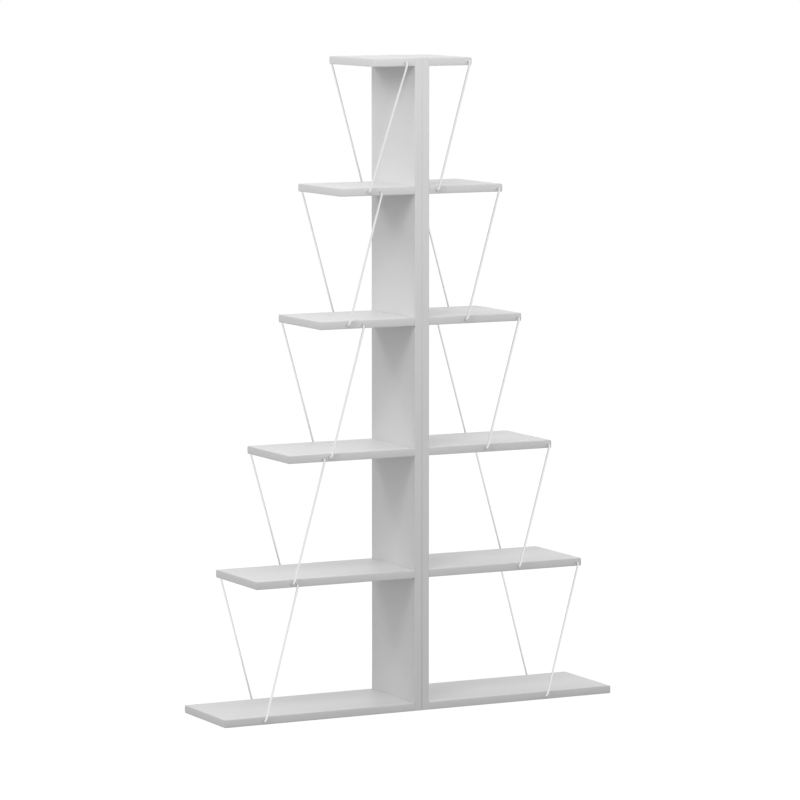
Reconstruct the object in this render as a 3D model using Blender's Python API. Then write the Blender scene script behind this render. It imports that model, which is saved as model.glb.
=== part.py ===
"""Tree-shaped bookcase: two like halves that stand back to back and share one column.

Each half is a tall column board, six half shelves screwed to it, and ten bent steel rods that tie
each shelf's edge to the next one's. The left half is the right one turned half way round, which is
why the rods at the back lean the other way. Units are metres. +Z is up, the shelves run along X,
the front faces -Y, and the origin is on the floor under the middle of the column.
"""
import math
from typing import NamedTuple

import bmesh
import bpy
from mathutils import Matrix, Vector

# Boards
BOARD = 0.018            # thickness of the column boards and the shelves
DEPTH = 0.220            # front to back, of the shelves and the column alike
EDGE_ROUND = 0.0008      # rounding of every edge of a board
SEAM = 0.0003            # room between pieces that touch
BASE_LENGTH = 1.000      # the lowest shelf, from end to end across the column

# The storeys, from the floor up; the class Bay says what each size measures
BAY_1 = {
    "height": 0.291,
    "length": 0.839,
    "outer_head": 0.0140,
    "outer_foot": 0.3045,
    "inner_head": 0.3025,
    "inner_foot": 0.3855,
}
BAY_2 = {
    "height": 0.264,
    "length": 0.677,
    "outer_head": 0.0105,
    "outer_foot": 0.2305,
    "inner_head": 0.2340,
    "inner_foot": 0.3135,
}
BAY_3 = {
    "height": 0.282,
    "length": 0.516,
    "outer_head": 0.0110,
    "outer_foot": 0.1445,
    "inner_head": 0.1345,
    "inner_foot": 0.2190,
}
BAY_4 = {
    "height": 0.282,
    "length": 0.415,
    "outer_head": 0.0130,
    "outer_foot": 0.0915,
    "inner_head": 0.0890,
    "inner_foot": 0.1735,
}
BAY_5 = {
    "height": 0.273,
    "length": 0.254,
    "outer_head": 0.0095,
    "outer_foot": 0.0175,
    "inner_head": 0.0245,
    "inner_foot": 0.1210,
}

# Rods
ROD = 0.005              # diameter of the steel
ROD_STANDOFF = 0.012     # from the shelves' edges out to the rod's centre line
ROD_BEND = 0.010         # radius of the bends, at the centre line
ROD_SEAT = 0.015         # how far each end goes into its hole

# Screws; the class Screw says what each size measures
SHELF_SCREW = {
    "length": 0.050,
    "shank": 0.0070,
    "head": 0.0100,
    "head_height": 0.0030,
    "tip": 0.0040,
    "tip_length": 0.0040,
    "drive": 0.0040,
    "drive_depth": 0.0025,
}
COLUMN_SCREW = {
    "length": 0.030,
    "shank": 0.0040,
    "head": 0.0080,
    "head_height": 0.0025,
    "tip": 0.0016,
    "tip_length": 0.0030,
    "drive": 0.0044,
    "drive_depth": 0.0016,
}
SCREW_INSET = 0.035      # from a shelf's front and back edges in to its screws
HEAD_SINK = 0.0003       # a head's top, below the face that it is driven into
CROSS_WAIST = 0.3        # how narrow a cross recess is between its arms, as a share of its width
COLUMN_SCREW_BAYS = {"lower": 1, "upper": 3}   # which storeys have one, counted from 0

# Faceting
ROUND_SIDES = 12         # of screws and holes: a multiple of 12 suits both recesses
ROD_RESOLUTION = 3       # gives the rods ten sides
BEND_STEPS = 4           # straight pieces in each bend of a rod
EDGE_STEPS = 2           # facets in the rounding of a board's edge
OVERSHOOT = 0.001        # how far a drill starts outside its board
SMOOTH_ANGLE = math.radians(40)

# What follows from the sizes above
COLUMN_SIDE = SEAM / 2 + BOARD        # a column board's outer face
SHELF_START = COLUMN_SIDE + SEAM      # where the half shelves begin
SCREW_ROW = DEPTH / 2 - SCREW_INSET   # a shelf screw's distance from the middle, front to back
OUTWARD = Vector((1, 0, 0))           # away from the column, in the right half
HALVES = {"right": 0.0, "left": math.pi}
FACE_NAMES = {("right", -1): "front", ("right", 1): "back", ("left", -1): "back", ("left", 1): "front"}


class Bay(NamedTuple):
    """One storey: the open space above a shelf, and the shelf that covers it."""

    height: float        # clear height between the two shelves
    length: float        # the shelf on top, from end to end across the column
    outer_head: float    # outer rod's upper hole, in from the end of the shelf on top
    outer_foot: float    # outer rod's lower hole, out from the column's side
    inner_head: float    # inner rod's upper hole, out from the column's side
    inner_foot: float    # inner rod's lower hole, out from the column's side


class Screw(NamedTuple):
    """A countersunk screw; its thread is left plain."""

    length: float
    shank: float         # diameter
    head: float          # diameter of the head's flat top
    head_height: float   # height of the head's cone
    tip: float           # diameter of the blunt tip
    tip_length: float    # where the shank runs down to the tip
    drive: float         # recess, across the flats of a hexagon or the arms of a cross
    drive_depth: float


class Level(NamedTuple):
    """A shelf's place in one half."""

    middle: float        # height of the middle of its thickness
    end: float           # distance of its free end from the middle of the column


class RodPlace(NamedTuple):
    """A rod's two holes in one half, and the edge that it stands on: -1 is that half's front."""

    bay: int
    edge: int
    head: Vector
    foot: Vector


BAYS = [Bay(**sizes) for sizes in (BAY_1, BAY_2, BAY_3, BAY_4, BAY_5)]
SHELF_CONNECTOR = Screw(**SHELF_SCREW)
COLUMN_CONNECTOR = Screw(**COLUMN_SCREW)


def shelf_levels():
    """Works out the six shelf places, from the floor up."""
    levels = [Level(BOARD / 2, BASE_LENGTH / 2)]
    for bay in BAYS:
        levels.append(Level(levels[-1].middle + BOARD + bay.height, bay.length / 2))
    return levels


def rod_places(levels):
    """Works out where the rods go in: outer ones at this half's front, inner ones at its back."""
    places = []
    for number, bay in enumerate(BAYS):
        below, above = levels[number], levels[number + 1]
        outer = (above.end - bay.outer_head, COLUMN_SIDE + bay.outer_foot)
        inner = (COLUMN_SIDE + bay.inner_head, COLUMN_SIDE + bay.inner_foot)
        for edge, (head_x, foot_x) in ((-1, outer), (1, inner)):
            head = Vector((head_x, edge * DEPTH / 2, above.middle))
            foot = Vector((foot_x, edge * DEPTH / 2, below.middle))
            places.append(RodPlace(number, edge, head, foot))
    return places


def make_material(name, colour, roughness, metallic):
    """A Principled material."""
    material = bpy.data.materials.new(name)
    material.use_nodes = True
    shader = material.node_tree.nodes["Principled BSDF"]
    shader.inputs["Base Color"].default_value = (*colour, 1.0)
    shader.inputs["Roughness"].default_value = roughness
    shader.inputs["Metallic"].default_value = metallic
    material.diffuse_color = (*colour, 1.0)
    return material


def add_object(name, data, parent, material):
    """Puts a mesh or curve into the scene under its half."""
    data.materials.append(material)
    obj = bpy.data.objects.new(name, data)
    obj.parent = parent
    bpy.context.scene.collection.objects.link(obj)
    return obj


def round_ring(radius, height):
    """A ring of points around the Z axis."""
    step = 2 * math.pi / ROUND_SIDES
    return [(radius * math.cos(i * step), radius * math.sin(i * step), height) for i in range(ROUND_SIDES)]


def hexagon_ring(flats, height):
    """The same number of points, on a hexagon's outline."""
    step = 2 * math.pi / ROUND_SIDES
    points = []
    for i in range(ROUND_SIDES):
        from_flat = (i * step) % (math.pi / 3) - math.pi / 6
        radius = flats / 2 / math.cos(from_flat)
        points.append((radius * math.cos(i * step), radius * math.sin(i * step), height))
    return points


def cross_ring(width, height):
    """The same number of points, on a four-armed outline."""
    step = 2 * math.pi / ROUND_SIDES
    points = []
    for i in range(ROUND_SIDES):
        on_arm = i % (ROUND_SIDES // 4) == 0
        radius = width / 2 * (1 if on_arm else CROSS_WAIST)
        points.append((radius * math.cos(i * step), radius * math.sin(i * step), height))
    return points


def add_turned_body(bm, rings, origin=(0, 0, 0), direction=Vector((0, 0, 1))):
    """Joins rings, in order, into one closed body that points along `direction` from `origin`."""
    turn = Vector((0, 0, 1)).rotation_difference(direction).to_matrix().to_4x4()
    place = Matrix.Translation(origin) @ turn
    loops = [[bm.verts.new(place @ Vector(point)) for point in ring] for ring in rings]
    for low, high in zip(loops, loops[1:]):
        for i in range(ROUND_SIDES):
            j = (i + 1) % ROUND_SIDES
            bm.faces.new((low[i], low[j], high[j], high[i]))
    bm.faces.new(reversed(loops[0]))
    bm.faces.new(loops[-1])


def mesh_from(bm, name):
    """Turns a finished bmesh into a mesh."""
    mesh = bpy.data.meshes.new(name)
    bm.to_mesh(mesh)
    bm.free()
    return mesh


def add_blind_hole(bm, mouth, direction, diameter, depth):
    """Adds a drill for a plain hole."""
    radius = diameter / 2
    rings = (round_ring(radius, -OVERSHOOT), round_ring(radius, depth))
    add_turned_body(bm, rings, mouth, direction)


def add_countersunk_hole(bm, mouth, direction, screw, depth):
    """Adds a drill that lets a screw's head sink into the face."""
    head = screw.head / 2 + SEAM
    shank = screw.shank / 2 + SEAM
    rings = (
        round_ring(head, -OVERSHOOT),
        round_ring(head, HEAD_SINK),
        round_ring(shank, HEAD_SINK + screw.head_height),
        round_ring(shank, depth),
    )
    add_turned_body(bm, rings, mouth, direction)


def make_board(name, low, high, half, drills):
    """A board with rounded edges, from corner `low` to corner `high`, drilled by `drills`."""
    low, high = Vector(low), Vector(high)
    bm = bmesh.new()
    bmesh.ops.create_cube(bm, size=1.0)
    bmesh.ops.scale(bm, vec=high - low, verts=bm.verts)
    bmesh.ops.bevel(
        bm, geom=bm.edges[:], offset=EDGE_ROUND, segments=EDGE_STEPS, profile=0.5, affect="EDGES"
    )
    board = add_object(name, mesh_from(bm, name), half, MELAMINE)
    board.location = (low + high) / 2
    cutter = add_object(name + "_drills", mesh_from(drills, name + "_drills"), half, MELAMINE)
    cutter.hide_render = True
    cutter.display_type = "WIRE"
    holes = board.modifiers.new("holes", "BOOLEAN")
    holes.operation = "DIFFERENCE"
    holes.solver = "EXACT"
    holes.object = cutter
    return board


def make_column_board(side, half, levels):
    """The full-height board of one half, drilled for the shelves' screws and the column screws."""
    drills = bmesh.new()
    inner_face = SEAM / 2
    through = BOARD + OVERSHOOT
    for level in levels:
        for edge in (-1, 1):
            mouth = (inner_face, edge * SCREW_ROW, level.middle)
            add_countersunk_hole(drills, mouth, OUTWARD, SHELF_CONNECTOR, through)
    for height in column_screw_heights(levels).values():
        if side == "right":
            mouth = (COLUMN_SIDE, 0, height)
            add_countersunk_hole(drills, mouth, -OUTWARD, COLUMN_CONNECTOR, through)
        else:
            mouth = (inner_face, 0, height)
            depth = COLUMN_CONNECTOR.length + HEAD_SINK - BOARD
            add_blind_hole(drills, mouth, OUTWARD, COLUMN_CONNECTOR.shank + 2 * SEAM, depth)
    top = levels[-1].middle + BOARD / 2
    low = (inner_face, -DEPTH / 2, 0)
    high = (COLUMN_SIDE, DEPTH / 2, top)
    return make_board(f"column_board_{side}", low, high, half, drills)


def make_half_shelf(side, half, index, level, rods):
    """One half shelf, drilled in its end for the screws and in its edges for the rods."""
    drills = bmesh.new()
    screw_depth = SHELF_CONNECTOR.length + HEAD_SINK - BOARD
    for edge in (-1, 1):
        mouth = (SHELF_START, edge * SCREW_ROW, level.middle)
        add_blind_hole(drills, mouth, OUTWARD, SHELF_CONNECTOR.shank + 2 * SEAM, screw_depth)
    mouths = [(rod.foot, rod.edge) for rod in rods if rod.bay == index]
    mouths += [(rod.head, rod.edge) for rod in rods if rod.bay + 1 == index]
    for mouth, edge in mouths:
        add_blind_hole(drills, mouth, Vector((0, -edge, 0)), ROD + 2 * SEAM, ROD_SEAT + SEAM)
    low = (SHELF_START, -DEPTH / 2, level.middle - BOARD / 2)
    high = (level.end, DEPTH / 2, level.middle + BOARD / 2)
    return make_board(f"shelf_{index + 1}_{side}", low, high, half, drills)


def rod_path(rod):
    """Centre line of a rod: out of the upper hole, round a bend, down, round a bend, in again."""
    outward = Vector((0, rod.edge, 0))
    along = (rod.foot - rod.head).normalized()
    lead = ROD_STANDOFF - ROD_BEND
    points = [rod.head - outward * ROD_SEAT]
    angles = [i * math.pi / 2 / BEND_STEPS for i in range(BEND_STEPS + 1)]
    for angle in angles:
        out = lead + ROD_BEND * math.sin(angle)
        down = ROD_BEND * (1 - math.cos(angle))
        points.append(rod.head + outward * out + along * down)
    for angle in reversed(angles):
        out = lead + ROD_BEND * math.sin(angle)
        up = ROD_BEND * (1 - math.cos(angle))
        points.append(rod.foot + outward * out - along * up)
    points.append(rod.foot - outward * ROD_SEAT)
    return points


def make_rod(side, half, rod):
    """A bent rod, as a curve with a round section."""
    name = f"tie_rod_{rod.bay + 1}_{side}_{FACE_NAMES[side, rod.edge]}"
    points = rod_path(rod)
    curve = bpy.data.curves.new(name, "CURVE")
    curve.dimensions = "3D"
    curve.bevel_depth = ROD / 2
    curve.bevel_resolution = ROD_RESOLUTION
    curve.use_fill_caps = True
    spline = curve.splines.new("POLY")
    spline.points.add(len(points) - 1)
    spline.use_smooth = True
    for knot, point in zip(spline.points, points):
        knot.co = (*(point - rod.head), 1.0)
    obj = add_object(name, curve, half, PAINTED_STEEL)
    obj.location = rod.head
    return obj


def make_screw_mesh(name, screw, recess_ring):
    """A countersunk screw whose tip is at the top of its Z axis and whose head is at the origin."""
    bm = bmesh.new()
    rings = (
        recess_ring(screw.drive, screw.drive_depth),
        recess_ring(screw.drive, 0),
        round_ring(screw.head / 2, 0),
        round_ring(screw.shank / 2, screw.head_height),
        round_ring(screw.shank / 2, screw.length - screw.tip_length),
        round_ring(screw.tip / 2, screw.length),
    )
    add_turned_body(bm, rings)
    mesh = mesh_from(bm, name)
    mesh.shade_smooth()
    mesh.set_sharp_from_angle(angle=SMOOTH_ANGLE)
    return mesh


def place_screw(name, mesh, half, head, direction):
    """Puts one screw with its head's middle at `head`, driven along `direction`."""
    obj = bpy.data.objects.new(name, mesh)
    obj.parent = half
    obj.location = head
    obj.rotation_euler = direction.to_track_quat("Z", "Y").to_euler()
    bpy.context.scene.collection.objects.link(obj)
    return obj


def column_screw_heights(levels):
    """Each column screw sits half way up its bay."""
    heights = {}
    for name, bay in COLUMN_SCREW_BAYS.items():
        heights[name] = (levels[bay].middle + levels[bay + 1].middle) / 2
    return heights


def make_half(side, levels, shelf_screw):
    """Builds one half under an empty, which turns it to its side of the column."""
    half = bpy.data.objects.new(f"{side}_half", None)
    bpy.context.scene.collection.objects.link(half)
    half.rotation_euler.z = HALVES[side]
    rods = rod_places(levels)
    make_column_board(side, half, levels)
    for index, level in enumerate(levels):
        make_half_shelf(side, half, index, level, rods)
        for edge in (-1, 1):
            name = f"shelf_screw_{index + 1}_{side}_{FACE_NAMES[side, edge]}"
            head = (SEAM / 2 + HEAD_SINK, edge * SCREW_ROW, level.middle)
            place_screw(name, shelf_screw, half, head, OUTWARD)
    for rod in rods:
        make_rod(side, half, rod)
    return half


def clear_scene():
    """Removes whatever the scene holds."""
    for obj in list(bpy.data.objects):
        bpy.data.objects.remove(obj, do_unlink=True)


def main():
    """Builds both halves and the screws that join them."""
    levels = shelf_levels()
    shelf_screw = make_screw_mesh("shelf_screw", SHELF_CONNECTOR, hexagon_ring)
    column_screw = make_screw_mesh("column_screw", COLUMN_CONNECTOR, cross_ring)
    for mesh in (shelf_screw, column_screw):
        mesh.materials.append(ZINC)
    halves = {side: make_half(side, levels, shelf_screw) for side in HALVES}
    for name, height in column_screw_heights(levels).items():
        head = (COLUMN_SIDE - HEAD_SINK, 0, height)
        place_screw(f"column_screw_{name}", column_screw, halves["right"], head, -OUTWARD)


clear_scene()
MELAMINE = make_material("white_melamine", (0.80, 0.80, 0.80), 0.45, 0.0)
PAINTED_STEEL = make_material("white_painted_steel", (0.84, 0.84, 0.84), 0.35, 0.0)
ZINC = make_material("zinc_plated_steel", (0.62, 0.63, 0.65), 0.35, 1.0)
main()
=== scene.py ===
# %% [markdown]
# This lesson dresses a white, tree-shaped bookcase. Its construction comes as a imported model: two
# column boards side by side, twelve half shelves, twenty bent rods and the screws inside. Here each
# board becomes a faced and banded one, each rod a smooth lacquered one, and each screw gets its thread.
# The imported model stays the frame: every new piece takes its size and place from the piece it replaces.

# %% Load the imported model
import math
from typing import NamedTuple

import bmesh
import bpy
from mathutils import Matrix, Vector


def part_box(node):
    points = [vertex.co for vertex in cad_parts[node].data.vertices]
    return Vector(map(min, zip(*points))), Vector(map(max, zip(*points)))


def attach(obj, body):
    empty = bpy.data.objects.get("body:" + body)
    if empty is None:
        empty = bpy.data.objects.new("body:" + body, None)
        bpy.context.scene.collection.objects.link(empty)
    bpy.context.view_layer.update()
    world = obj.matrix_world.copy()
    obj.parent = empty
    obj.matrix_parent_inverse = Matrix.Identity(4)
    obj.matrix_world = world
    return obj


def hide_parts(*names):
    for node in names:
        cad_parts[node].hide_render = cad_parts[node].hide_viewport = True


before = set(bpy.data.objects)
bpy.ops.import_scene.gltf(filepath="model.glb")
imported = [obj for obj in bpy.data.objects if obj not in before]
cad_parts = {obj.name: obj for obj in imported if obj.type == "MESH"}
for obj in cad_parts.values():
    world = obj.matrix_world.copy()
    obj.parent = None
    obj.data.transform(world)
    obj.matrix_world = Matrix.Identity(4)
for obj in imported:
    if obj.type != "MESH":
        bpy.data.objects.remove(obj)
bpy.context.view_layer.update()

# %% [markdown]
# The bookcase has one secret: its left half is the right half turned half way round, so what is at the
# front on one side is at the back on the other. It is enough to model the right half and to turn a copy
# of each piece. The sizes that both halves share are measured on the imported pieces.

# %% Measure the right half
COLUMN_LOW, COLUMN_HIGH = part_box("column_board_right")
COLUMN_LEFT_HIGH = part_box("column_board_left")[1]
BOARD = COLUMN_HIGH.x - COLUMN_LOW.x       # thickness of every board
DEPTH = COLUMN_HIGH.y - COLUMN_LOW.y       # front to back
LEVELS = range(1, 7)                       # the six levels of shelves
BAYS = range(1, 6)                         # the five bays between them
FACES = ("front", "back")
RIGHT_SHELVES = [f"shelf_{level}_right" for level in LEVELS]
RIGHT_RODS = [f"tie_rod_{bay}_right_{face}" for bay in BAYS for face in FACES]
RIGHT_SCREWS = [f"shelf_screw_{level}_right_{face}" for level in LEVELS for face in FACES]
COLUMN_SCREWS = ["column_screw_lower", "column_screw_upper"]
TURNED_WORDS = {"right": "left", "front": "back", "back": "front"}
TINY = 0.00001                             # how near two places must be to count as one
print("board", round(BOARD, 4), "depth", round(DEPTH, 4), "column height", round(COLUMN_HIGH.z, 4))


def turned_name(name):
    """A right-half piece's name as its left-half twin bears it."""
    return "_".join(TURNED_WORDS.get(word, word) for word in name.split("_"))


# %% [markdown]
# Modelling in code is modelling by hand with the selection written down. A primitive is added, shaped in
# edit mode, and finished. Three habits keep that safe: deselect everything first, select by place, and
# leave each finished piece at the origin with its place in its mesh, so that patterns stay where they are.

# %% Helpers for modelling by operators
def deselect_all():
    """Lets go of every object."""
    bpy.ops.object.select_all(action="DESELECT")


def pick(obj):
    """Makes one object the only selected and the active one."""
    deselect_all()
    obj.select_set(True)
    bpy.context.view_layer.objects.active = obj


def name_piece(obj, name):
    """Gives an object and its mesh the same name."""
    obj.name = name
    obj.data.name = name
    return obj


def settle():
    """Moves the active object's place, turn and scale into its mesh."""
    bpy.ops.object.transform_apply(location=True, rotation=True, scale=True)


def select_points(obj, wanted):
    """In edit mode, selects the points for which `wanted` is true, and what lies between them."""
    bpy.ops.mesh.select_mode(type="VERT")
    bpy.ops.mesh.select_all(action="DESELECT")
    shape = bmesh.from_edit_mesh(obj.data)
    for point in shape.verts:
        point.select = wanted(point.co)
    shape.select_flush_mode()
    bmesh.update_edit_mesh(obj.data)


def extrude(step):
    """Extrudes the selection by a step."""
    bpy.ops.mesh.extrude_region_move(TRANSFORM_OT_translate={"value": step})


def close_and_orient():
    """In edit mode, caps what is open and turns every face outwards."""
    bpy.ops.mesh.select_all(action="DESELECT")
    bpy.ops.mesh.select_non_manifold()
    bpy.ops.mesh.fill_holes(sides=0)
    bpy.ops.mesh.select_all(action="SELECT")
    bpy.ops.mesh.normals_make_consistent(inside=False)


def twin_of(piece, name):
    """The left half's twin: a copy with its own mesh, turned half way round the column's middle."""
    pick(piece)
    bpy.ops.object.duplicate()
    twin = name_piece(bpy.context.object, name)
    bpy.ops.transform.rotate(value=math.pi, orient_axis="Z", center_override=(0, 0, 0))
    settle()
    return twin


# %% [markdown]
# A finish is a small tree of nodes round one shader. Its patterns are noises on object coordinates, so a
# dimple is as large as a real one and stays where it is on its piece. A noise tints the colour, clouds the
# gloss or raises the surface, and a value that is the same all over is set on the shader itself.

# %% Helpers for materials
NOISE_LOW, NOISE_HIGH = 0.3, 0.7     # where most of a noise pattern's values lie


def grey(tone):
    """A neutral colour of one tone."""
    return (tone, tone, tone)


def new_material(name, colour):
    """A Principled material; returns it with its tree and shader."""
    material = bpy.data.materials.new(name)
    material.use_nodes = True
    material.diffuse_color = (*colour, 1.0)
    tree = material.node_tree
    shader = tree.nodes["Principled BSDF"]
    shader.inputs["Base Color"].default_value = (*colour, 1.0)
    return material, tree, shader


def pattern(tree, scale, detail=2.0, stretch=(1, 1, 1)):
    """A noise on object coordinates, with `scale` waves to a metre, times `stretch` along each axis."""
    place = tree.nodes.new("ShaderNodeTexCoord")
    mapping = tree.nodes.new("ShaderNodeMapping")
    mapping.inputs["Scale"].default_value = stretch
    noise = tree.nodes.new("ShaderNodeTexNoise")
    noise.inputs["Scale"].default_value = scale
    noise.inputs["Detail"].default_value = detail
    tree.links.new(place.outputs["Object"], mapping.inputs["Vector"])
    tree.links.new(mapping.outputs["Vector"], noise.inputs["Vector"])
    return noise.outputs["Fac"]


def between(tree, fac, low, high):
    """Spreads a pattern between two numbers or two colours."""
    if isinstance(low, tuple):
        mix = tree.nodes.new("ShaderNodeMix")
        mix.data_type = "RGBA"
        mix.inputs["A"].default_value = (*low, 1.0)
        mix.inputs["B"].default_value = (*high, 1.0)
        tree.links.new(fac, mix.inputs["Factor"])
        return mix.outputs["Result"]
    spread = tree.nodes.new("ShaderNodeMapRange")
    spread.inputs["From Min"].default_value = NOISE_LOW
    spread.inputs["From Max"].default_value = NOISE_HIGH
    spread.inputs["To Min"].default_value = low
    spread.inputs["To Max"].default_value = high
    tree.links.new(fac, spread.inputs["Value"])
    return spread.outputs["Result"]


def vary(tree, shader, socket, fac, ends):
    """Lets a pattern vary one of the shader's sockets between two ends."""
    low, high = ends
    tree.links.new(between(tree, fac, low, high), shader.inputs[socket])


def add_bump(tree, shader, height, depth):
    """Raises the surface by `depth` metres where a pattern is high."""
    bump = tree.nodes.new("ShaderNodeBump")
    bump.inputs["Strength"].default_value = 1.0
    bump.inputs["Distance"].default_value = depth
    tree.links.new(height, bump.inputs["Height"])
    tree.links.new(bump.outputs["Normal"], shader.inputs["Normal"])


# %% [markdown]
# White boards are never one flat white. Melamine paper pressed on chipboard carries a fine pearl that
# breaks its sheen, and over a hand's width the board is never quite even. Small bump and roughness noises
# give that, and the colour stays close to the plain white that the boards have. The chipboard inside shows
# only in holes and on sawn ends, where cells of a Voronoi pattern stand for its pressed chips.

# %% Melamine, edge band and raw chipboard
BOARD_WHITE = grey(0.80)
MELAMINE_TONES = (grey(0.792), grey(0.808))
MELAMINE_ROUGHNESS = (0.40, 0.52)
PEARL_SCALE = 900                    # waves to a metre: dimples of about a millimetre
PEARL_DEPTH = 0.000012
UNEVEN_SCALE = 9                     # slow change across a board
BAND_TONES = (grey(0.787), grey(0.803))
BAND_ROUGHNESS = (0.36, 0.46)
STREAK_SCALE = 700                   # fine lines left by the band's die
STREAK_DEPTH = 0.000006
LONG = 0.02                          # share of the waves left along a band, which draws them into lines
CHIP_SCALE = 420                     # chips of two or three millimetres
CHIP_DEPTH = 0.0002
CHIP_ROUGHNESS = 0.85
CHIP_BROWN = (0.48, 0.34, 0.20)
DARK_CHIP = (0.27, 0.17, 0.09, 1.0)
LIGHT_CHIP = (0.62, 0.47, 0.30, 1.0)


def make_melamine():
    """The pressed paper on the boards' wide faces."""
    material, tree, shader = new_material("melamine", BOARD_WHITE)
    vary(tree, shader, "Base Color", pattern(tree, UNEVEN_SCALE), MELAMINE_TONES)
    pearl = pattern(tree, PEARL_SCALE, detail=3.0)
    vary(tree, shader, "Roughness", pearl, MELAMINE_ROUGHNESS)
    add_bump(tree, shader, pearl, PEARL_DEPTH)
    return material


def make_band_plastic(name, stretch):
    """The plastic band on the boards' narrow sides, with faint lines along its run."""
    material, tree, shader = new_material(name, BOARD_WHITE)
    vary(tree, shader, "Base Color", pattern(tree, UNEVEN_SCALE), BAND_TONES)
    streaks = pattern(tree, STREAK_SCALE, stretch=stretch)
    vary(tree, shader, "Roughness", streaks, BAND_ROUGHNESS)
    add_bump(tree, shader, streaks, STREAK_DEPTH)
    return material


def make_chipboard():
    """The pressed chips that show in a drilled hole or at a sawn end."""
    material, tree, shader = new_material("raw_chipboard", CHIP_BROWN)
    place = tree.nodes.new("ShaderNodeTexCoord")
    chips = tree.nodes.new("ShaderNodeTexVoronoi")
    chips.inputs["Scale"].default_value = CHIP_SCALE
    tree.links.new(place.outputs["Object"], chips.inputs["Vector"])
    tones = tree.nodes.new("ShaderNodeValToRGB")
    tones.color_ramp.elements[0].color = DARK_CHIP
    tones.color_ramp.elements[1].color = LIGHT_CHIP
    tree.links.new(chips.outputs["Color"], tones.inputs["Fac"])
    tree.links.new(tones.outputs["Color"], shader.inputs["Base Color"])
    shader.inputs["Roughness"].default_value = CHIP_ROUGHNESS
    add_bump(tree, shader, chips.outputs["Distance"], CHIP_DEPTH)
    return material


MELAMINE = make_melamine()
BAND_ALONG_X = make_band_plastic("edge_band_along_x", (LONG, 1, 1))
BAND_ALONG_Y = make_band_plastic("edge_band_along_y", (1, LONG, 1))
BAND_ALONG_Z = make_band_plastic("edge_band_along_z", (1, 1, LONG))
CHIPBOARD = make_chipboard()
print("board materials:", MELAMINE.name, BAND_ALONG_X.name, BAND_ALONG_Y.name, BAND_ALONG_Z.name)
print("in the holes:", CHIPBOARD.name)

# %% [markdown]
# The rods keep one even brightness from the floor to the top, on white and on grey alike. A matt paint
# would darken with the boards, so their white is a metallic lacquer, whose fine flakes mirror the white
# room. The screws are zinc plated, a thin bright metal that clouds a little from place to place.

# %% Lacquer and zinc
LACQUER_WHITE = grey(0.81)
LACQUER_TONES = (grey(0.80), grey(0.82))
LACQUER_ROUGHNESS = (0.30, 0.38)
FLAKE_SCALE = 1800                   # flakes of about half a millimetre
PEEL_SCALE = 650                     # a soft orange peel
PEEL_DEPTH = 0.000006
ZINC_GREY = (0.62, 0.63, 0.65)
ZINC_TONES = ((0.56, 0.57, 0.60), (0.70, 0.70, 0.70))
ZINC_ROUGHNESS = (0.26, 0.44)
CLOUD_SCALE = 300                    # clouds of about three millimetres
GRAIN_SCALE = 1500                   # the plating's own fine grain
GRAIN_DEPTH = 0.000008


def make_lacquer():
    """The white metallic lacquer on the rods."""
    material, tree, shader = new_material("metallic_lacquer", LACQUER_WHITE)
    shader.inputs["Metallic"].default_value = 1.0
    vary(tree, shader, "Base Color", pattern(tree, FLAKE_SCALE), LACQUER_TONES)
    peel = pattern(tree, PEEL_SCALE)
    vary(tree, shader, "Roughness", peel, LACQUER_ROUGHNESS)
    add_bump(tree, shader, peel, PEEL_DEPTH)
    return material


def make_zinc():
    """The plating on the screws."""
    material, tree, shader = new_material("zinc_plating", ZINC_GREY)
    shader.inputs["Metallic"].default_value = 1.0
    cloud = pattern(tree, CLOUD_SCALE, detail=4.0)
    vary(tree, shader, "Base Color", cloud, ZINC_TONES)
    vary(tree, shader, "Roughness", cloud, ZINC_ROUGHNESS)
    add_bump(tree, shader, pattern(tree, GRAIN_SCALE), GRAIN_DEPTH)
    return material


LACQUER = make_lacquer()
ZINC = make_zinc()
print("metal materials:", LACQUER.name, ZINC.name)

# %% [markdown]
# A banded board is made in a known order: the panel is sawn, plastic bands are glued on its narrow sides
# and trimmed flush, and then the holes are drilled. The shelves' bands have a softly crowned face, which is
# why their front edges shade from light above to dark below, and the column's are flat with crisp edges.
# The whole outline is lofted first and sawn into panel and bands afterwards, so that all stay flush.

# %% Loft the outline of a board
BAND = 0.002             # thickness of the plastic bands
CROWN_STEPS = 8          # steps from ring to ring of points over the crown
ROUND_RINGS = 3          # rings of points over each rounding
CORNER_STEPS = 4         # steps round each upright corner of the free end


class Band(NamedTuple):
    """The shape of a band's face."""

    crown: float         # how far its middle stands out beyond its long edges
    rounding: float      # radius along its long edges


SHELF_BAND = Band(0.0005, 0.0006)
COLUMN_BAND = Band(0.00005, 0.00005)


def outline_inset(height, band):
    """How far the outline is drawn in, at a height above or below the board's middle."""
    half = BOARD / 2
    inset = band.crown * (height / half) ** 2
    into_round = min(abs(height) - (half - band.rounding), band.rounding)
    if into_round > 0:
        inset += band.rounding - math.sqrt(band.rounding ** 2 - into_round ** 2)
    return inset


def ring_heights(band):
    """Heights of the loft's rings, close together where the edge turns."""
    half = BOARD / 2
    flat = half - band.rounding
    quarter = [math.sin(math.pi / 2 * step / ROUND_RINGS) for step in range(1, ROUND_RINGS + 1)]
    upper = [flat + band.rounding * share for share in quarter]
    crown = [flat * (2 * step / CROWN_STEPS - 1) for step in range(CROWN_STEPS + 1)]
    return [-height for height in reversed(upper)] + crown + upper


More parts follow.
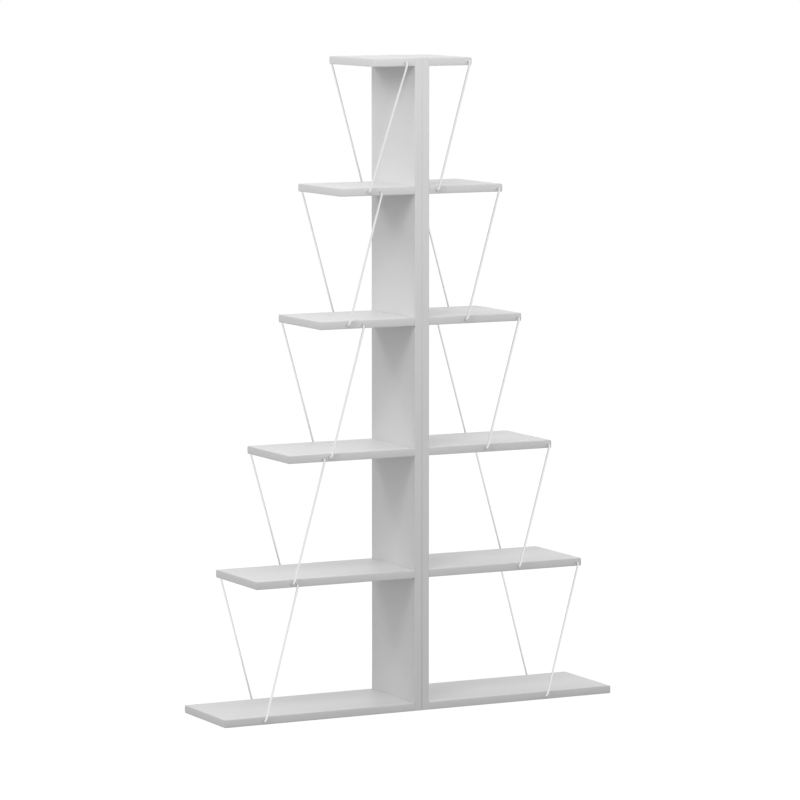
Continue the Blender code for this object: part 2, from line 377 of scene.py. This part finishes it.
def loft_board(length, band):
    """A board lying along X: its plain end at x 0, its free end at `length`, its middle at height 0."""
    deselect_all()
    bpy.ops.mesh.primitive_plane_add(size=1, location=(length / 2, 0, 0))
    board = bpy.context.object
    board.scale = (length, DEPTH, 1)
    settle()
    bpy.ops.object.mode_set(mode="EDIT")
    select_points(board, lambda place: place.x > length - TINY)
    bpy.ops.mesh.bevel(offset=band.rounding, segments=CORNER_STEPS, affect="VERTICES")
    bpy.ops.mesh.select_all(action="SELECT")
    heights = ring_heights(band)
    bpy.ops.transform.translate(value=(0, 0, heights[0]))
    last_height = heights[0]
    last_inset = 0.0
    for height in heights:
        inset = outline_inset(height, band)
        if height > last_height:
            extrude((0, 0, height - last_height))
        along = (length - inset) / (length - last_inset)
        across = (DEPTH - 2 * inset) / (DEPTH - 2 * last_inset)
        bpy.ops.transform.resize(value=(along, across, 1), center_override=(0, 0, height))
        last_height = height
        last_inset = inset
    close_and_orient()
    bpy.ops.object.mode_set(mode="OBJECT")
    return board


print("rings in a shelf's loft:", len(ring_heights(SHELF_BAND)))

# %% [markdown]
# Sawing is the bisect operator with fill: the plane cuts, one side falls away, and the cut is closed. A
# hair's width is left between panel and band for the glue line, which shows on every real board. On the
# column the bands are also scraped back where the two boards meet, most at the foot, so that the boards
# seat tight. That leaves the fine dark line down the column's front, which fades upwards.

# %% Saw the outline into a panel and its bands
GLUE_LINE = 0.0001
SCRAPE_FOOT = 0.00038    # how far the column's bands are scraped back at its foot
SCRAPE_SHARE = 0.6       # the share of the height at which the scrape runs out
SAW_EXACTNESS = 0.000001
FRONT = Vector((0, -1, 0))
BACK = Vector((0, 1, 0))
RIGHT = Vector((1, 0, 0))
LEFT = Vector((-1, 0, 0))


class Part(NamedTuple):
    """A piece sawn from the loft: its name's last word, its finish and its cuts."""

    word: str
    finish: bpy.types.Material
    cuts: list           # each a point on the plane and the side that falls away


def board_parts(length, side_band, end_band, scraped=False):
    """How a board lying along X is sawn; scraped bands fall short of its upper face."""
    inner = DEPTH / 2 - BAND
    panel_side = inner - GLUE_LINE
    sides = [(FRONT * panel_side, FRONT), (BACK * panel_side, BACK)]
    end = RIGHT * (length - BAND)
    glued_end = end - RIGHT * GLUE_LINE
    panel = Part("panel", MELAMINE, [*sides, (glued_end, RIGHT)])
    bands = [
        Part("front_band", side_band, [(FRONT * inner, BACK)]),
        Part("back_band", side_band, [(BACK * inner, FRONT)]),
        Part("end_band", end_band, [*sides, (end, LEFT)]),
    ]
    if scraped:
        foot = Vector((0, 0, BOARD / 2 - SCRAPE_FOOT))
        waste = Vector((-SCRAPE_FOOT, 0, length * SCRAPE_SHARE))
        for band in bands:
            band.cuts.append((foot, waste.normalized()))
    return [panel, *bands]


def saw(board, name, part):
    """Copies the loft and saws one part from it."""
    pick(board)
    bpy.ops.object.duplicate()
    piece = name_piece(bpy.context.object, name)
    bpy.ops.object.mode_set(mode="EDIT")
    for place, waste in part.cuts:
        bpy.ops.mesh.select_all(action="SELECT")
        bpy.ops.mesh.bisect(
            plane_co=place, plane_no=waste, use_fill=True, clear_outer=True, threshold=SAW_EXACTNESS
        )
    bpy.ops.object.mode_set(mode="OBJECT")
    piece.data.materials.append(part.finish)
    return piece


# %% [markdown]
# Every hole is drilled with a tool turned like the real drill bit: a ring of points that is extruded and
# resized step by step, wider at the mouth where a screw's head has to sink in. The tool carries the raw
# chipboard material, and the Boolean hands it on to the walls of the hole.

# %% Turn a drill and drill a board
ROUND_SIDES = 24
OVERSHOOT = 0.001        # how far a drill starts outside its board
DRILL_ROOM = 0.0003      # room between a hole and the screw in it
ROD_ROOM = 0.0001        # room between a hole and the rod in it
HEAD_SINK = 0.0003       # how far a screw's head lies below the board's face


def turn_profile(profile, origin, direction):
    """Turns a closed body from (radius, distance) pairs along a direction; a radius must stay above 0."""
    deselect_all()
    radius, place = profile[0]
    bpy.ops.mesh.primitive_circle_add(vertices=ROUND_SIDES, radius=radius, fill_type="NGON")
    body = bpy.context.object
    bpy.ops.object.mode_set(mode="EDIT")
    bpy.ops.mesh.select_all(action="SELECT")
    bpy.ops.transform.translate(value=(0, 0, place))
    for next_radius, next_place in profile[1:]:
        extrude((0, 0, next_place - place))
        share = next_radius / radius
        bpy.ops.transform.resize(value=(share, share, 1), center_override=(0, 0, next_place))
        radius = next_radius
        place = next_place
    bpy.ops.mesh.select_all(action="SELECT")
    bpy.ops.mesh.normals_make_consistent(inside=False)
    bpy.ops.object.mode_set(mode="OBJECT")
    body.rotation_euler = direction.to_track_quat("Z", "Y").to_euler()
    body.location = origin
    settle()
    return body


def drill_tool(mouth, direction, radius, depth, head_radius=0.0, head_depth=0.0):
    """A drill for a plain or a countersunk hole."""
    profile = [(radius, -OVERSHOOT), (radius, depth)]
    if head_radius:
        profile = [
            (head_radius, -OVERSHOOT),
            (head_radius, HEAD_SINK),
            (radius, HEAD_SINK + head_depth),
            (radius, depth),
        ]
    tool = turn_profile(profile, mouth, direction)
    tool.data.materials.append(CHIPBOARD)
    return tool


def join_tools(tools):
    """All of a board's drills as one cutter."""
    deselect_all()
    for tool in tools:
        tool.select_set(True)
    bpy.context.view_layer.objects.active = tools[0]
    bpy.ops.object.join()
    return bpy.context.object


def drill(piece, cutter, walls="TRANSFER"):
    """Takes the cutter out of a piece; with INDEX the walls of the holes keep the piece's own finish."""
    pick(piece)
    holes = piece.modifiers.new("holes", "BOOLEAN")
    holes.operation = "DIFFERENCE"
    holes.solver = "EXACT"
    holes.material_mode = walls
    holes.object = cutter
    bpy.ops.object.modifier_apply(modifier=holes.name)


# %% [markdown]
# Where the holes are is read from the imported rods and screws. A rod's two ends are its points nearest to
# the boards' middle, a screw's axis is the middle of its box.

# %% Read the rods' and screws' places
class RodPlace(NamedTuple):
    """A rod: the bottoms of its two holes, the way out of them, and what its centre line reaches."""

    node: str
    head: Vector
    foot: Vector
    outward: Vector
    reach: float         # from the bottom of its holes out to its straight run
    radius: float


class ScrewPlace(NamedTuple):
    """A screw: the middle of its head's top and the way it points."""

    node: str
    head: Vector
    direction: Vector
    length: float
    head_radius: float


def box_middle(points):
    """The middle of the box round some points."""
    spans = [(min(values), max(values)) for values in zip(*points)]
    return Vector([(low + high) / 2 for low, high in spans])


def read_rod(node):
    """Reads a rod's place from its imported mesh."""
    points = [vertex.co.copy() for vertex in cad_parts[node].data.vertices]
    nearest = min(abs(point.y) for point in points)
    outermost = max(abs(point.y) for point in points)
    ends = [point for point in points if abs(point.y) < nearest + TINY]
    halfway = box_middle(ends).z
    upper = [point for point in ends if point.z > halfway]
    lower = [point for point in ends if point.z < halfway]
    head = box_middle(upper)
    foot = box_middle(lower)
    radius = max((point - head).length for point in upper)
    outward = BACK if head.y > 0 else FRONT
    return RodPlace(node, head, foot, outward, outermost - nearest - radius, radius)


def read_screw(node, direction):
    """Reads a screw's place from its packed box; it lies along X."""
    low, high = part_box(node)
    middle = (low + high) / 2
    head_x = low.x if direction.x > 0 else high.x
    head = Vector((head_x, middle.y, middle.z))
    return ScrewPlace(node, head, direction, high.x - low.x, (high.z - low.z) / 2)


INTO_SHELF = RIGHT
INTO_COLUMN = LEFT
RODS = [read_rod(node) for node in RIGHT_RODS]
SHELF_SCREWS = [read_screw(node, INTO_SHELF) for node in RIGHT_SCREWS]
COLUMN_PAIR = [read_screw(node, INTO_COLUMN) for node in COLUMN_SCREWS]
for rod in RODS:
    print(rod.node, "head", [round(c, 4) for c in rod.head], "foot", [round(c, 4) for c in rod.foot])
print("rod radius", round(RODS[0].radius, 5), "reach", round(RODS[0].reach, 5))
print("shelf screw", round(SHELF_SCREWS[0].length, 4), "column screw", round(COLUMN_PAIR[0].length, 4))

# %% [markdown]
# A rod's hole runs in from a shelf's edge until the rod's end has a little room. A shelf screw passes
# through the column board, which is countersunk for its head, and bites into the shelf's end. What lies at
# a shelf's height belongs to that shelf, so the holes follow the rods and screws wherever they are.

# %% Place the drills
SHANK_SHARE = 0.7        # radius of a shelf screw's shank, as a share of its head's
CONE_SHARE = 0.6         # depth of its countersunk head, as a share of the head's radius
SCREW_HOLE = SHELF_SCREWS[0].head_radius * SHANK_SHARE + DRILL_ROOM


def shelf_tools(low, high):
    """The drills of one shelf: its rods' holes and its two screws' holes."""
    middle = (low.z + high.z) / 2
    tools = []
    for rod in RODS:
        for bottom in (rod.head, rod.foot):
            if abs(bottom.z - middle) < TINY:
                depth = DEPTH / 2 - abs(bottom.y) + DRILL_ROOM
                mouth = bottom + rod.outward * (depth - DRILL_ROOM)
                tools.append(drill_tool(mouth, -rod.outward, rod.radius + ROD_ROOM, depth))
    for screw in SHELF_SCREWS:
        if abs(screw.head.z - middle) < TINY:
            mouth = Vector((low.x, screw.head.y, middle))
            depth = screw.head.x + screw.length + DRILL_ROOM - low.x
            tools.append(drill_tool(mouth, INTO_SHELF, SCREW_HOLE, depth))
    return tools


def column_tools(low):
    """The drills of the right column board: countersunk holes for the shelves' screws."""
    tools = []
    for screw in SHELF_SCREWS:
        mouth = Vector((low.x, screw.head.y, screw.head.z))
        head = screw.head_radius + DRILL_ROOM
        cone = screw.head_radius * CONE_SHARE
        tools.append(drill_tool(mouth, INTO_SHELF, SCREW_HOLE, BOARD + OVERSHOOT, head, cone))
    return tools


print("a shelf screw's hole has a radius of", round(SCREW_HOLE, 5))

# %% [markdown]
# Now the six shelves of the right half and its column board are lofted, sawn, set in place and drilled. A
# shelf stays lying; the column board is stood up with its free end on top, so its foot is left unbanded.
# The ends without a band show the raw chipboard: they lie against the column or stand on the floor.

# %% Build the boards
pieces = []              # (piece, material slot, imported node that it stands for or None)


def bare_end(panel):
    """Shows raw chipboard on a lying panel's plain sawn end, which is at x 0."""
    panel.data.materials.append(CHIPBOARD)
    for face in panel.data.polygons:
        if face.center.x < TINY:
            face.material_index = 1


def set_in_place(piece, turn_y, place):
    """Turns a lying part about Y and moves it to its place."""
    pick(piece)
    piece.rotation_euler = (0, turn_y, 0)
    piece.location = place
    settle()


def finish_board(node, loft, cutter, parts, turn_y, place, drilled_bands=()):
    """Saws a board's parts from its loft, sets them in place and drills them."""
    for part in parts:
        piece = saw(loft, f"{node}_{part.word}", part)
        if part.word == "panel":
            bare_end(piece)
        set_in_place(piece, turn_y, place)
        if part.word == "panel":
            drill(piece, cutter)
        elif part.word in drilled_bands:
            drill(piece, cutter, walls="INDEX")
        pieces.append((piece, "melamine_board", node if part.word == "panel" else None))
    bpy.data.objects.remove(cutter)
    bpy.data.objects.remove(loft)


def build_shelf(node):
    """One half shelf of the right half; the rods' holes go through its long bands."""
    low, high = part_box(node)
    length = high.x - low.x
    loft = loft_board(length, SHELF_BAND)
    cutter = join_tools(shelf_tools(low, high))
    parts = board_parts(length, BAND_ALONG_X, BAND_ALONG_Y)
    place = (low.x, 0, (low.z + high.z) / 2)
    finish_board(node, loft, cutter, parts, 0, place, drilled_bands=("front_band", "back_band"))


def build_column(node):
    """The right column board, stood up."""
    low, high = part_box(node)
    length = high.z - low.z
    loft = loft_board(length, COLUMN_BAND)
    cutter = join_tools(column_tools(low))
    parts = board_parts(length, BAND_ALONG_Z, BAND_ALONG_Y, scraped=True)
    place = ((low.x + high.x) / 2, 0, low.z)
    finish_board(node, loft, cutter, parts, -math.pi / 2, place)


for shelf in RIGHT_SHELVES:
    build_shelf(shelf)
build_column("column_board_right")
print("right half boards:", len(pieces), "parts")

# %% [markdown]
# A rod is modelled as it is bent in the shop: a round bar runs out of its hole, is spun a quarter turn
# round the bending pin, runs down to the next shelf, and is spun and pushed in again. The spin operator
# needs its centre and axis spelled out, since no 3D view is open to take them from.

# %% Bend the rods
ROD_SIDES = 24
BEND_RADIUS = 0.010
BEND_STEPS = 10
END_CHAMFER = 0.0004


def bend_round(pin, axis):
    """Spins the open end a quarter turn round the bending pin."""
    bpy.ops.mesh.spin(steps=BEND_STEPS, angle=math.pi / 2, center=pin, axis=axis)


def bend_rod(rod):
    """One rod with chamfered ends."""
    deselect_all()
    facing = rod.outward.to_track_quat("Z", "Y").to_euler()
    bpy.ops.mesh.primitive_circle_add(
        vertices=ROD_SIDES, radius=rod.radius, location=rod.head, rotation=facing
    )
    bar = name_piece(bpy.context.object, rod.node.replace("tie_rod", "bent_rod"))
    settle()
    along = (rod.foot - rod.head).normalized()
    run = (rod.foot - rod.head).length - 2 * BEND_RADIUS
    lead = rod.outward * (rod.reach - BEND_RADIUS)
    axis = along.cross(rod.outward)
    bpy.ops.object.mode_set(mode="EDIT")
    bpy.ops.mesh.select_all(action="SELECT")
    extrude(lead)
    bend_round(rod.head + lead + along * BEND_RADIUS, axis)
    extrude(along * run)
    bend_round(rod.foot + lead - along * BEND_RADIUS, axis)
    extrude(-lead)
    close_and_orient()
    end_y = abs(rod.head.y)
    select_points(bar, lambda place: abs(place.y) < end_y + TINY)
    bpy.ops.mesh.bevel(offset=END_CHAMFER, segments=1, affect="EDGES")
    bpy.ops.object.mode_set(mode="OBJECT")
    bar.data.materials.append(LACQUER)
    return bar


for rod in RODS:
    pieces.append((bend_rod(rod), "painted_rod", rod.node))
print("right half rods:", len(RODS))

# %% [markdown]
# A screw's thread is a ridge wound round its shank. A small plane is narrowed at its crest, only its
# outline is kept, and the Screw modifier winds that up the axis. The ridge starts a little inside the
# shank, so that the two cross cleanly, and both its ends are drawn in, as a rolled thread runs out.

# %% Wind a thread
THREAD_STEPS = 16
RIDGE_BASE = 0.7         # width of the ridge's base, as a share of the pitch
RIDGE_CREST = 0.12       # width of its crest, likewise
RIDGE_START = 0.9        # how far from the axis it starts, as a share of the shank's radius
RUN_OUT = 0.8            # how far from the axis its crest lies at both ends, likewise


class Thread(NamedTuple):
    """A thread, measured from the middle of the head's top."""

    root: float          # radius of the shank under it
    crest: float         # outer radius
    pitch: float
    start: float
    turns: int


SHELF_THREAD = Thread(root=0.0025, crest=0.0035, pitch=0.003, start=0.0135, turns=10)
COLUMN_THREAD = Thread(root=0.0013, crest=0.0020, pitch=0.0018, start=0.0065, turns=11)


def taper_end(ridge, thread, first):
    """Draws one end of the ridge in, so that the thread runs out into the shank."""
    place = thread.start + (0 if first else thread.turns * thread.pitch)
    half = thread.pitch * RIDGE_BASE / 2 + TINY
    select_points(ridge, lambda point: abs(point.y) < TINY and point.x > 0 and abs(point.z - place) < half)
    share = RUN_OUT * thread.root / thread.crest
    bpy.ops.transform.resize(value=(share, share, 1), center_override=(0, 0, place))


def wind_thread(thread):
    """A closed ridge wound round the Z axis, tapered off at both ends."""
    inside = thread.root * RIDGE_START
    width = thread.crest - inside
    deselect_all()
    bpy.ops.mesh.primitive_plane_add(size=1, rotation=(math.pi / 2, 0, 0))
    ridge = bpy.context.object
    ridge.scale = (width, thread.pitch * RIDGE_BASE, 1)
    ridge.location = (inside + width / 2, 0, thread.start)
    settle()
    bpy.ops.object.mode_set(mode="EDIT")
    select_points(ridge, lambda place: place.x > thread.crest - TINY)
    narrow = RIDGE_CREST / RIDGE_BASE
    bpy.ops.transform.resize(value=(1, 1, narrow), center_override=(0, 0, thread.start))
    bpy.ops.mesh.select_all(action="SELECT")
    bpy.ops.mesh.delete(type="ONLY_FACE")
    bpy.ops.object.mode_set(mode="OBJECT")
    winding = ridge.modifiers.new("winding", "SCREW")
    winding.steps = THREAD_STEPS
    winding.render_steps = THREAD_STEPS
    winding.iterations = thread.turns
    winding.screw_offset = thread.pitch
    bpy.ops.object.modifier_apply(modifier=winding.name)
    bpy.ops.object.mode_set(mode="EDIT")
    close_and_orient()
    taper_end(ridge, thread, first=True)
    taper_end(ridge, thread, first=False)
    bpy.ops.object.mode_set(mode="OBJECT")
    return ridge


print("thread of a shelf screw:", round(SHELF_THREAD.turns * SHELF_THREAD.pitch, 4), "long")

# %% [markdown]
# The shelf screw is a thick chipboard screw with a hexagon socket, the column screw a thin one with a
# cross. Both are turned, and the ridge is joined on by a Boolean union. The socket and the cross are taken
# out of the head by a cutter each. Every screw is modelled once, with its head at the origin.

# %% Model the screws
SOCKET_RADIUS = 0.0023
SOCKET_DEPTH = 0.0028
CROSS_WIDTH = 0.0044
CROSS_THICKNESS = 0.0010
CROSS_DEPTH = 0.0016
CROSS_FLOOR = 0.6        # size of the cross at its floor, as a share of its size at the top
UP = Vector((0, 0, 1))


class Shank(NamedTuple):
    """What is turned round a thread, measured from the middle of the head's top."""

    cone: float          # depth of the countersunk head
    collar: float        # radius of the plain collar under it
    collar_end: float
    tip: float           # radius at the very end
    tip_start: float


SHELF_SHANK = Shank(cone=0.003, collar=0.0035, collar_end=0.012, tip=0.0015, tip_start=0.0465)
COLUMN_SHANK = Shank(cone=0.0025, collar=0.0016, collar_end=0.005, tip=0.0004, tip_start=0.0268)


def combine(piece, other, operation):
    """Joins another closed body on, or takes it out, and removes it."""
    pick(piece)
    step = piece.modifiers.new("step", "BOOLEAN")
    step.operation = operation
    step.solver = "EXACT"
    step.object = other
    bpy.ops.object.modifier_apply(modifier=step.name)
    bpy.data.objects.remove(other)


def turn_screw(name, place, shank, thread):
    """A screw without its drive: countersunk head, collar, threaded shank and tip."""
    profile = [
        (place.head_radius, 0.0),
        (shank.collar, shank.cone),
        (shank.collar, shank.collar_end),
        (thread.root, shank.collar_end + shank.collar - thread.root),
        (thread.root, shank.tip_start),
        (shank.tip, place.length),
    ]
    screw = name_piece(turn_profile(profile, (0, 0, 0), UP), name)
    combine(screw, wind_thread(thread), "UNION")
    return screw


def add_socket(screw):
    """Sinks a hexagon socket."""
    deselect_all()
    middle = (0, 0, SOCKET_DEPTH / 2 - OVERSHOOT / 2)
    bpy.ops.mesh.primitive_cylinder_add(
        vertices=6, radius=SOCKET_RADIUS, depth=SOCKET_DEPTH + OVERSHOOT, location=middle
    )
    settle()
    combine(screw, bpy.context.object, "DIFFERENCE")


def on_peg_side(place, way):
    """Whether a point of the cross's cutter is on its square peg's side that faces a way."""
    on_peg = abs(place.x) + abs(place.y) < CROSS_THICKNESS + TINY
    return on_peg and place.dot(way) > CROSS_THICKNESS / 2 - TINY


def add_cross(screw):
    """Sinks a tapered cross: a square peg whose four sides are drawn out into arms."""
    deselect_all()
    bpy.ops.mesh.primitive_cube_add(size=1, location=(0, 0, CROSS_DEPTH / 2 - OVERSHOOT / 2))
    cross = bpy.context.object
    cross.scale = (CROSS_THICKNESS, CROSS_THICKNESS, CROSS_DEPTH + OVERSHOOT)
    settle()
    bpy.ops.object.mode_set(mode="EDIT")
    for way in (RIGHT, BACK, LEFT, FRONT):
        select_points(cross, lambda place: on_peg_side(place, way))
        extrude(way * (CROSS_WIDTH - CROSS_THICKNESS) / 2)
    select_points(cross, lambda place: place.z > 0)
    taper = (CROSS_FLOOR, CROSS_FLOOR, 1)
    bpy.ops.transform.resize(value=taper, center_override=(0, 0, CROSS_DEPTH))
    bpy.ops.object.mode_set(mode="OBJECT")
    combine(screw, cross, "DIFFERENCE")


shelf_screw = turn_screw("shelf_screw_model", SHELF_SCREWS[0], SHELF_SHANK, SHELF_THREAD)
add_socket(shelf_screw)
column_screw = turn_screw("column_screw_model", COLUMN_PAIR[0], COLUMN_SHANK, COLUMN_THREAD)
add_cross(column_screw)
for screw in (shelf_screw, column_screw):
    screw.data.materials.clear()
    screw.data.materials.append(ZINC)
    print(screw.name, "has", len(screw.data.polygons), "faces")

# %% [markdown]
# A screw is driven by copying its model, turning it to point into the wood and moving its head to its
# place. The screws that hold the right half's shelves come first, because their twins are turned with it.

# %% Drive the shelf screws
def drive_screw(model, place, name):
    """A copy of a screw with its own mesh, driven in at its place."""
    pick(model)
    bpy.ops.object.duplicate()
    screw = name_piece(bpy.context.object, name)
    screw.rotation_euler = place.direction.to_track_quat("Z", "Y").to_euler()
    screw.location = place.head
    settle()
    return screw


for place in SHELF_SCREWS:
    name = place.node.replace("shelf_screw", "board_screw")
    pieces.append((drive_screw(shelf_screw, place, name), "zinc_screw", place.node))
print("right half screws:", len(SHELF_SCREWS))

# %% [markdown]
# One half is whole. Its twin is made piece by piece: copy, turn half way round, and give the name that the
# place has on the other side. The two column screws come last, because only they lie in both halves: the
# right board is countersunk for them and the left one only bored.

# %% Turn the twin half and join the two
for piece, slot, node in list(pieces):
    twin = twin_of(piece, turned_name(piece.name))
    pieces.append((twin, slot, turned_name(node) if node else None))
for place in COLUMN_PAIR:
    name = place.node.replace("column_screw", "joining_screw")
    pieces.append((drive_screw(column_screw, place, name), "zinc_screw", place.node))
for screw in (shelf_screw, column_screw):
    bpy.data.objects.remove(screw)


def bore_columns():
    """Countersinks the right column board for the joining screws and bores the left one."""
    radius = COLUMN_THREAD.crest + DRILL_ROOM
    countersinks = []
    bores = []
    for place in COLUMN_PAIR:
        mouth = Vector((COLUMN_HIGH.x, place.head.y, place.head.z))
        head = place.head_radius + DRILL_ROOM
        through = BOARD + OVERSHOOT
        countersinks.append(drill_tool(mouth, INTO_COLUMN, radius, through, head, COLUMN_SHANK.cone))
        mouth = Vector((COLUMN_LEFT_HIGH.x, place.head.y, place.head.z))
        tip = place.head.x - place.length
        bores.append(drill_tool(mouth, INTO_COLUMN, radius, mouth.x - tip + DRILL_ROOM))
    for name, tools in (("column_board_right_panel", countersinks), ("column_board_left_panel", bores)):
        cutter = join_tools(tools)
        drill(bpy.data.objects[name], cutter)
        bpy.data.objects.remove(cutter)


bore_columns()
print("both halves:", len(pieces), "pieces")

# %% [markdown]
# Each finished piece is shaded smooth up to a sharp angle and rides on the bookcase's one body, and the
# imported piece that it stands for is hidden. A board's bands stand for no imported piece; its panel alone
# hides the packed board.

# %% Shade the pieces and hang them on the body
SMOOTH_ANGLE = math.radians(35)

for piece, slot, node in pieces:
    pick(piece)
    bpy.ops.object.shade_smooth_by_angle(angle=SMOOTH_ANGLE)
    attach(piece, "root")
    if node:
        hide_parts(node)
print("faces in all:", sum(len(piece.data.polygons) for piece, slot, node in pieces))

# %% [markdown]
# The studio is plain: a wide pale floor under a soft sky. To the camera, a reflection or clear glass the
# sky is plain white, and the floor adds white to what it sends back, so it keeps the bookcase's shadow. A
# Light Path node tells such rays from the light that bounces, so the white puts no more light on the
# boards.

# %% Floor and sky
FLOOR_SIZE = 60.0
FLOOR_DROP = 0.0002      # below the boards' feet, so that the two don't share a plane
FLOOR_TONE = 0.35        # what the floor sends back to the bookcase
FLOOR_WHITE = 0.80       # what it adds for the eye, up to white where it is fully lit
ROOM_GLOW = 0.63         # light from all round, as a share of the white that the eye sees


def seen_directly(tree):
    """1 for a ray from the eye, a mirror or clear glass, and 0 for the light that bounces."""
    path = tree.nodes.new("ShaderNodeLightPath")
    either = path.outputs["Is Camera Ray"]
    for kind in ("Is Glossy Ray", "Is Transmission Ray"):
        more = tree.nodes.new("ShaderNodeMath")
        more.operation = "MAXIMUM"
        tree.links.new(either, more.inputs[0])
        tree.links.new(path.outputs[kind], more.inputs[1])
        either = more.outputs[0]
    return either


def make_floor():
    """A wide pale floor."""
    deselect_all()
    bpy.ops.mesh.primitive_plane_add(size=FLOOR_SIZE, location=(0, 0, -FLOOR_DROP))
    floor = name_piece(bpy.context.object, "studio_floor")
    material = bpy.data.materials.new("pale_floor")
    material.use_nodes = True
    tree = material.node_tree
    tree.nodes.clear()
    matt = tree.nodes.new("ShaderNodeBsdfDiffuse")
    matt.inputs["Color"].default_value = (*grey(FLOOR_TONE), 1.0)
    white = tree.nodes.new("ShaderNodeEmission")
    dimmed = tree.nodes.new("ShaderNodeMath")
    dimmed.operation = "MULTIPLY"
    dimmed.inputs[1].default_value = FLOOR_WHITE
    both = tree.nodes.new("ShaderNodeAddShader")
    out = tree.nodes.new("ShaderNodeOutputMaterial")
    tree.links.new(seen_directly(tree), dimmed.inputs[0])
    tree.links.new(dimmed.outputs[0], white.inputs["Strength"])
    tree.links.new(matt.outputs[0], both.inputs[0])
    tree.links.new(white.outputs[0], both.inputs[1])
    tree.links.new(both.outputs[0], out.inputs["Surface"])
    floor.data.materials.append(material)


def make_sky():
    """A world that glows softly on the bookcase and is white to the eye."""
    world = bpy.data.worlds.new("studio_sky")
    bpy.context.scene.world = world
    world.use_nodes = True
    tree = world.node_tree
    sky = tree.nodes["Background"]
    sky.inputs["Color"].default_value = (1, 1, 1, 1)
    choice = tree.nodes.new("ShaderNodeMix")
    choice.inputs["A"].default_value = ROOM_GLOW
    choice.inputs["B"].default_value = 1.0
    tree.links.new(seen_directly(tree), choice.inputs["Factor"])
    tree.links.new(choice.outputs["Result"], sky.inputs["Strength"])


make_floor()
make_sky()
print("floor", FLOOR_SIZE, "metres wide, sky glowing at", ROOM_GLOW)

# %% [markdown]
# Two small soft boxes hang on the left, and their light slants in under each shelf from the front and from
# the back. A long strip hangs overhead and a weak box low in front. They stand close, so the bookcase fades
# from its top to its foot. None shows in a reflection, so the rods mirror only the white room.

# %% Lamps
LAMP_AIM = Vector((0, 0, 0.9))       # a little above the bookcase's middle


class SoftBox(NamedTuple):
    """A soft box that faces the bookcase."""

    name: str
    place: tuple
    width: float
    height: float
    watts: float


SOFT_BOXES = [
    SoftBox("left_front_box", (-1.2, -1.1, 2.1), 0.6, 0.6, 5.7),
    SoftBox("left_back_box", (-1.2, 1.1, 2.1), 0.6, 0.6, 5.7),
    SoftBox("overhead_strip", (0.0, -1.0, 2.4), 4.0, 0.5, 8.8),
    SoftBox("low_front_box", (0.0, -1.7, 1.5), 1.0, 1.0, 1.7),
]


def hang_box(box):
    """Hangs one soft box and turns it to the bookcase; it lights, and shows in no reflection."""
    lamp = bpy.data.lights.new(box.name, "AREA")
    lamp.shape = "RECTANGLE"
    lamp.size = box.width
    lamp.size_y = box.height
    lamp.energy = box.watts
    hung = bpy.data.objects.new(box.name, lamp)
    hung.location = box.place
    hung.rotation_euler = (LAMP_AIM - Vector(box.place)).to_track_quat("-Z", "Y").to_euler()
    hung.visible_camera = False
    hung.visible_glossy = False
    bpy.context.scene.collection.objects.link(hung)


for box in SOFT_BOXES:
    hang_box(box)
bpy.context.scene.view_settings.view_transform = "Standard"
print("lamps:", [box.name for box in SOFT_BOXES])

# %% [markdown]
# The camera stands as it did for the photograph: ten metres off, to the left of the front, a little above
# the bookcase and looking slightly down, with a long lens. The distance keeps the uprights almost parallel.

# %% Camera
EYE = (-4.6696, -9.1471, 1.8454)
LOOK_DOWN = math.radians(6.315)
LOOK_ASIDE = math.radians(-27.042)
LENS = 201.33            # millimetres
SENSOR = 36.0            # width of the sensor behind it, in millimetres

camera = bpy.data.cameras.new("camera")
camera.sensor_width = SENSOR
camera.lens = LENS
eye = bpy.data.objects.new("camera", camera)
eye.location = EYE
eye.rotation_euler = (math.pi / 2 - LOOK_DOWN, 0, LOOK_ASIDE)
bpy.context.scene.collection.objects.link(eye)
bpy.context.scene.camera = eye
print("camera at", EYE)
